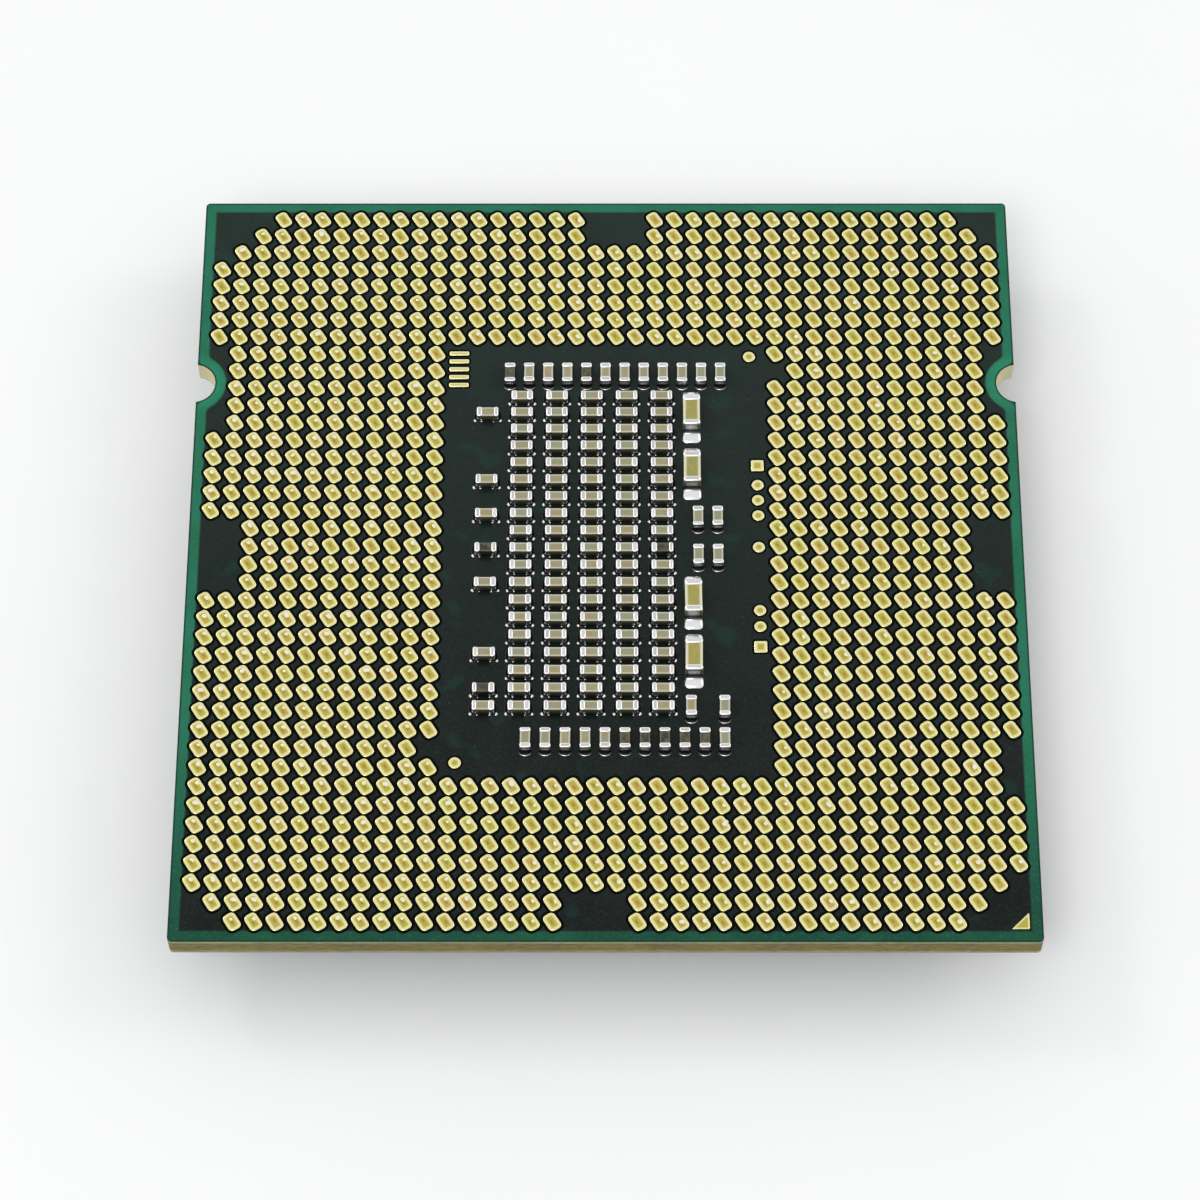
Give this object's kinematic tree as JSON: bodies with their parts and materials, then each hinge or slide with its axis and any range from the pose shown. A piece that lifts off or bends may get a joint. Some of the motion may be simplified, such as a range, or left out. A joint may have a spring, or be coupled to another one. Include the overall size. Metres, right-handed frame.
{
  "type": "cpu processor",
  "caption": "Square processor package for a land-grid socket, with gold contact lands and chip capacitors on one face and a stepped heat spreader on the other.",
  "frame": {"origin": "centre of the package outline, on the outer face of the heat spreader", "axes": "+Z from the heat spreader towards the contact lands; +Y towards the edge nearer the two key notches; the pin-one triangle is at +X, -Y"},
  "size_m": [0.0376, 0.0376, 0.0052],
  "materials": {
    "laminate": "woven glass and epoxy, cut edge",
    "copper": "bare copper, sealed in the laminate",
    "build_up": "build-up resin",
    "solder_mask": "dark green solder mask over copper, bright green at the rim",
    "gold": "satin gold plating",
    "ceramic": "fired ceramic, satin",
    "large_ceramic": "fired ceramic, mustard, satin",
    "dark_ceramic": "fired ceramic, dark grey brown",
    "tin": "tin plating, satin",
    "solder": "solder, bright",
    "silicon": "polished silicon",
    "underfill": "cured epoxy",
    "indium": "soft solder sheet",
    "nickel": "satin nickel plating",
    "sealant": "black silicone"
  },
  "bodies": {
    "root": {"laminate_core": "laminate", "through_vias": "copper", "core_copper_land_side": "copper", "outer_copper_land_side": "copper", "build_up_land_side": "build_up", "solder_mask_land_side": "solder_mask", "core_copper_die_side": "copper", "outer_copper_die_side": "copper", "build_up_die_side": "build_up", "solder_mask_die_side": "solder_mask", "lands_back": "gold", "lands_left": "gold", "lands_right": "gold", "lands_front": "gold", "pin_one_triangle": "gold", "pin_one_triangle_die_side": "gold", "fiducial_pads": "gold", "round_test_pads": "gold", "square_test_pads": "gold", "ident_bars": "gold", "array_capacitor_bodies": "ceramic", "array_capacitor_terminals": "tin", "array_solder_fillets": "solder", "array_chip_pads": "gold", "side_column_capacitor_bodies": "ceramic", "side_column_capacitor_terminals": "tin", "side_column_solder_fillets": "solder", "side_column_chip_pads": "gold", "back_row_capacitor_bodies": "ceramic", "back_row_capacitor_terminals": "tin", "back_row_solder_fillets": "solder", "back_row_chip_pads": "gold", "front_row_capacitor_bodies": "ceramic", "front_row_capacitor_terminals": "tin", "front_row_solder_fillets": "solder", "front_row_chip_pads": "gold", "paired_capacitor_bodies": "ceramic", "paired_capacitor_terminals": "tin", "paired_solder_fillets": "solder", "paired_chip_pads": "gold", "large_capacitor_bodies": "large_ceramic", "large_capacitor_terminals": "tin", "large_solder_fillets": "solder", "large_chip_pads": "gold", "dark_chip_bodies": "dark_ceramic", "silicon_die": "silicon", "die_bumps": "solder", "underfill": "underfill", "thermal_interface": "indium", "heat_spreader": "nickel", "sealant_bead": "sealant"}
  },
  "joints": []
}
